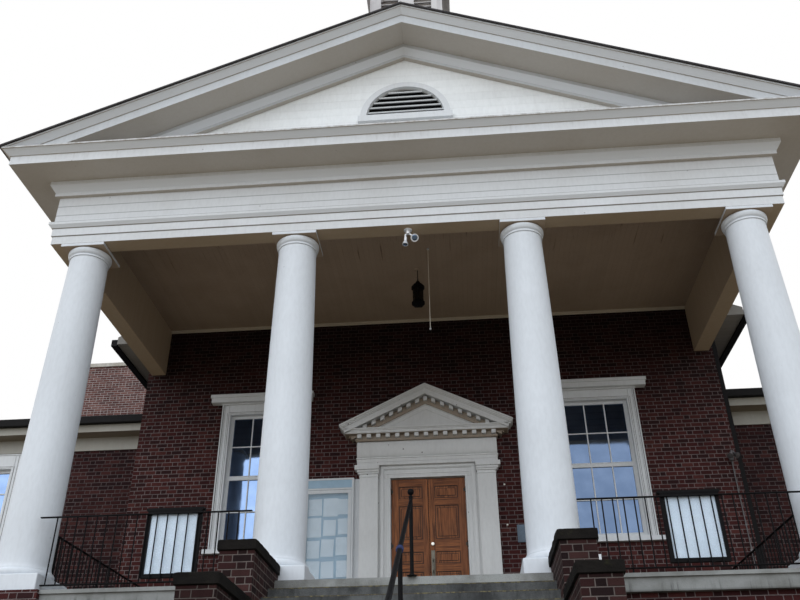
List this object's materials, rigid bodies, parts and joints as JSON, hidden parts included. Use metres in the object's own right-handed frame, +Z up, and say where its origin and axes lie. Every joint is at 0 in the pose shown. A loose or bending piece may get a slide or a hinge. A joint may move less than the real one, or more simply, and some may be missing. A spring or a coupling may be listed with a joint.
{
  "type": "courthouse",
  "caption": "Brick courthouse with a white temple front, a stone stair, two wings, a rear annex and a cupola; the entrance doors swing.",
  "frame": {"origin": "on the ground, midway between the sides, the front and the rear", "axes": "+Z up, +X to the right of someone facing the front, +Y from the stair to the rear"},
  "size_m": [25.5, 23.61, 16.482],
  "materials": {
    "brick": "dark red brick with pale joints",
    "white_paint": "off-white paint on wood and plaster",
    "stone": "weathered stone and concrete",
    "ceiling_paint": "painted boards",
    "shingle": "dark roof shingles",
    "slate": "dark slates",
    "varnished_wood": "varnished wood",
    "bronze": "dark bronze",
    "black_iron": "black painted iron",
    "dark_gutter": "dark brown paint",
    "clear_glass": "window glass",
    "plaque_blue": "blue-grey plate",
    "silver_metal": "plain aluminium",
    "cord": "pale cord"
  },
  "bodies": {
    "building": {"annex_coping": "white_paint", "annex_roof": "shingle", "annex_walls": "brick", "belfry": "white_paint", "cheek_caps": "stone", "cheek_walls": "brick", "columns": "white_paint", "cord_eye": "silver_metal", "cupola_base": "white_paint", "cupola_roof": "slate", "display_cases": "black_iron", "door_frame": "white_paint", "door_surround": "white_paint", "entablature_front": "white_paint", "entablature_sides": "white_paint", "entrance_steps": "stone", "entrance_stoop": "stone", "floodlights": "silver_metal", "front_wall_base": "brick", "front_wall_over_door": "brick", "front_walls": "brick", "ground_floors": "stone", "gutters": "dark_gutter", "hinge_pins": "bronze", "lantern": "black_iron", "lunette_louvre": "white_paint", "lunette_surround": "white_paint", "main_eaves": "white_paint", "main_rear_wall": "brick", "main_roof": "shingle", "main_side_walls": "brick", "notice_case": "white_paint", "plaque": "plaque_blue", "podium_front_wall": "brick", "podium_side_walls": "brick", "porch_railings": "black_iron", "portico_ceiling": "ceiling_paint", "portico_roof": "shingle", "pull_cord": "cord", "raking_cornice": "white_paint", "stair_handrail": "black_iron", "terrace_slab": "stone", "tympanum": "white_paint", "window_frames": "white_paint", "window_glass": "clear_glass", "wing_cornices": "white_paint", "wing_end_walls": "brick", "wing_roofs": "shingle", "wing_walls": "brick"},
    "left_leaf": {"left_door": "varnished_wood", "left_door_hinges": "bronze"},
    "right_leaf": {"right_door": "varnished_wood", "right_door_hardware": "bronze"},
    "notice_leaf": {"notice_door": "white_paint", "notice_glass": "clear_glass"}
  },
  "joints": [
    {"name": "left_leaf_hinge", "type": "hinge", "parent": "building", "child": "left_leaf", "pos_m": [-0.659, -2.232, 4], "axis": [0, 0, -1], "range_deg": [0, 90]},
    {"name": "right_leaf_hinge", "type": "hinge", "parent": "building", "child": "right_leaf", "pos_m": [0.659, -2.232, 4], "axis": [0, 0, 1], "range_deg": [0, 90]},
    {"name": "notice_door_hinge", "type": "hinge", "parent": "building", "child": "notice_leaf", "pos_m": [-2.199, -2.36, 4], "axis": [0, 0, -1], "range_deg": [0, 100]}
  ]
}
